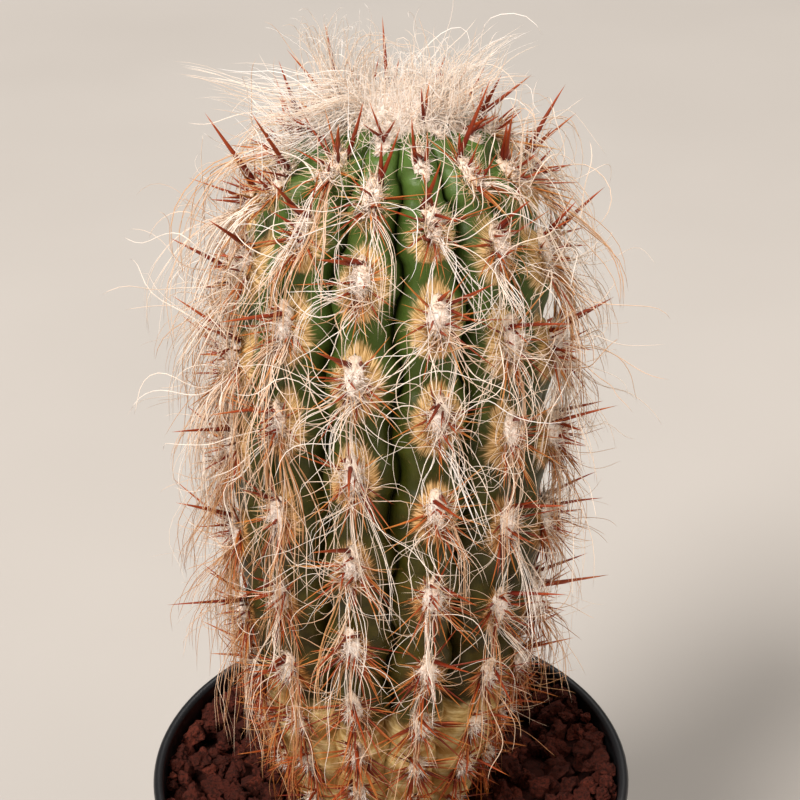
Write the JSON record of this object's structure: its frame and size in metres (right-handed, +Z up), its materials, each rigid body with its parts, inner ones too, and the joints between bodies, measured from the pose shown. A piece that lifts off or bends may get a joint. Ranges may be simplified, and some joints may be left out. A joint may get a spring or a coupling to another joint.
{
  "type": "potted old man of the andes cactus",
  "caption": "Woolly columnar cactus with low ribs, reddish spines and white hair, in a round black nursery pot filled with reddish lava grit.",
  "frame": {"origin": "middle of the pot's foot, on the surface that the pot stands on", "axes": "+Z up along the stem; -Y is the side that the picture shows"},
  "size_m": [0.105, 0.105, 0.2665],
  "materials": {
    "black_plastic": "satin moulded plastic, glossier on the rolled rim",
    "lava_grit": "rough, porous, dry",
    "green_skin": "waxy plant skin, corky and tan at the foot",
    "white_wool": "matt tangled hair"
  },
  "bodies": {
    "root": {"pot": "black_plastic", "grit": "lava_grit", "stem": "green_skin", "crown_wool": "white_wool"}
  },
  "joints": []
}
